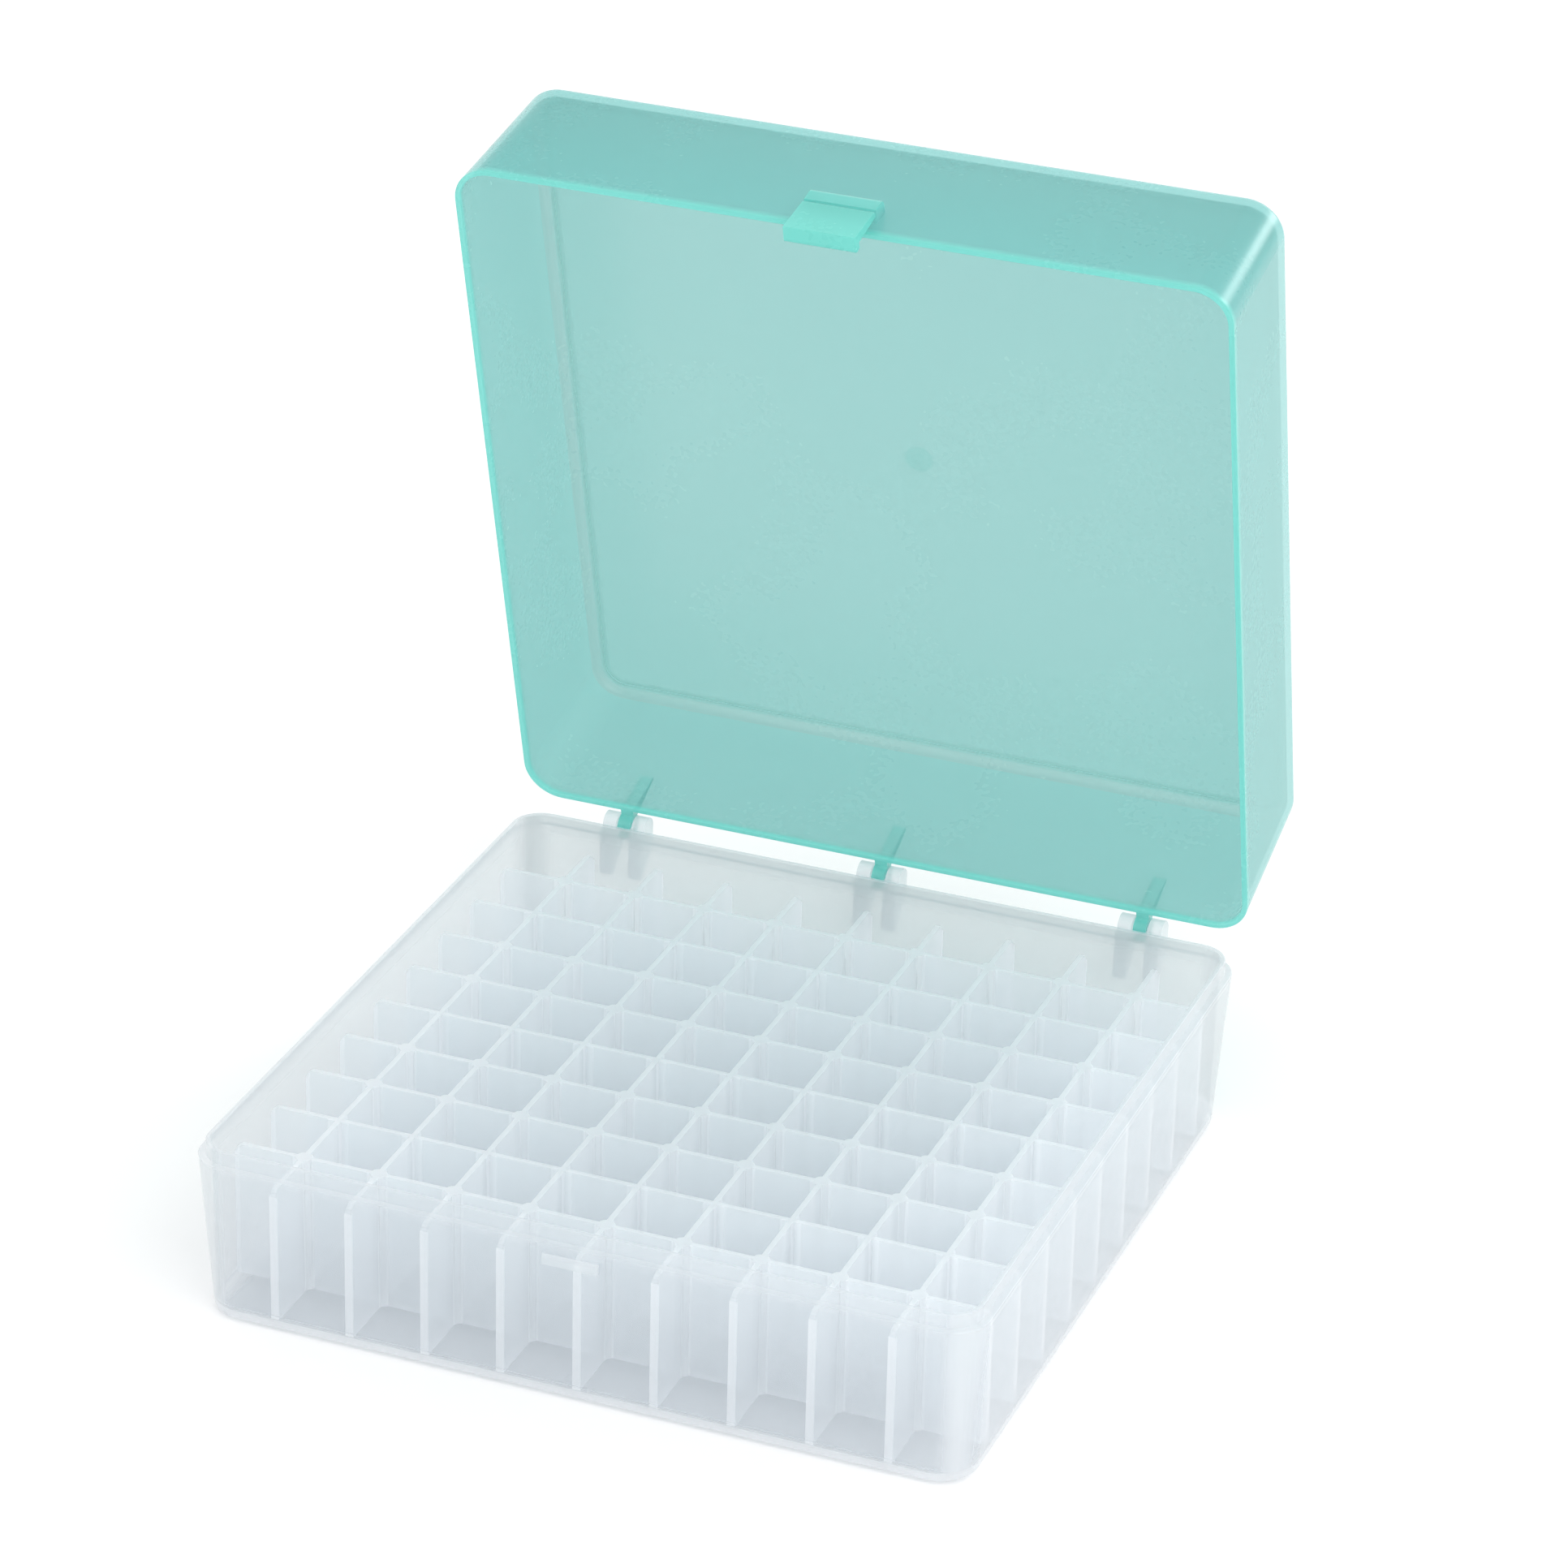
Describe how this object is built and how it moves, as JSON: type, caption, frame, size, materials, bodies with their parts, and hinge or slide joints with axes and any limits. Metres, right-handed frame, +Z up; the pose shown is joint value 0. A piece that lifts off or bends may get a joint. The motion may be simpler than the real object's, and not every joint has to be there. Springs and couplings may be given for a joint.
{
  "type": "cryogenic storage box",
  "caption": "Square low tray with a grid of wells for small tubes and a deep hinged lid with a latch, standing open.",
  "frame": {"origin": "centre of the tray's flat underside", "axes": "+X to the right along the front wall, +Y from the latch side towards the hinges, +Z up"},
  "size_m": [0.1408, 0.1736, 0.1747],
  "materials": {
    "frosted_polypropylene": "natural frosted polypropylene, translucent",
    "teal_polypropylene": "teal tinted polypropylene, translucent"
  },
  "bodies": {
    "tray": {"tray": "frosted_polypropylene", "long_divider_1": "frosted_polypropylene", "long_divider_2": "frosted_polypropylene", "long_divider_3": "frosted_polypropylene", "long_divider_4": "frosted_polypropylene", "long_divider_5": "frosted_polypropylene", "long_divider_6": "frosted_polypropylene", "long_divider_7": "frosted_polypropylene", "long_divider_8": "frosted_polypropylene", "long_divider_9": "frosted_polypropylene", "cross_divider_1": "frosted_polypropylene", "cross_divider_2": "frosted_polypropylene", "cross_divider_3": "frosted_polypropylene", "cross_divider_4": "frosted_polypropylene", "cross_divider_5": "frosted_polypropylene", "cross_divider_6": "frosted_polypropylene", "cross_divider_7": "frosted_polypropylene", "cross_divider_8": "frosted_polypropylene", "cross_divider_9": "frosted_polypropylene", "post_row_1": "frosted_polypropylene", "post_row_3": "frosted_polypropylene", "post_row_4": "frosted_polypropylene", "post_row_6": "frosted_polypropylene", "post_row_7": "frosted_polypropylene", "post_row_9": "frosted_polypropylene"},
    "lid": {"lid": "teal_polypropylene"},
    "latch": {"latch": "teal_polypropylene"}
  },
  "joints": [
    {"name": "lid_hinge", "type": "hinge", "parent": "tray", "child": "lid", "pos_m": [0, 0.0735, 0.0306], "axis": [-1, 0, 0], "range_deg": [-76, 89]},
    {"name": "latch_flex", "type": "hinge", "parent": "lid", "child": "latch", "pos_m": [0, 0.04177, 0.17172], "axis": [-1, 0, 0], "range_deg": [0, 20], "stiffness_Nm_per_rad": 0.05}
  ]
}
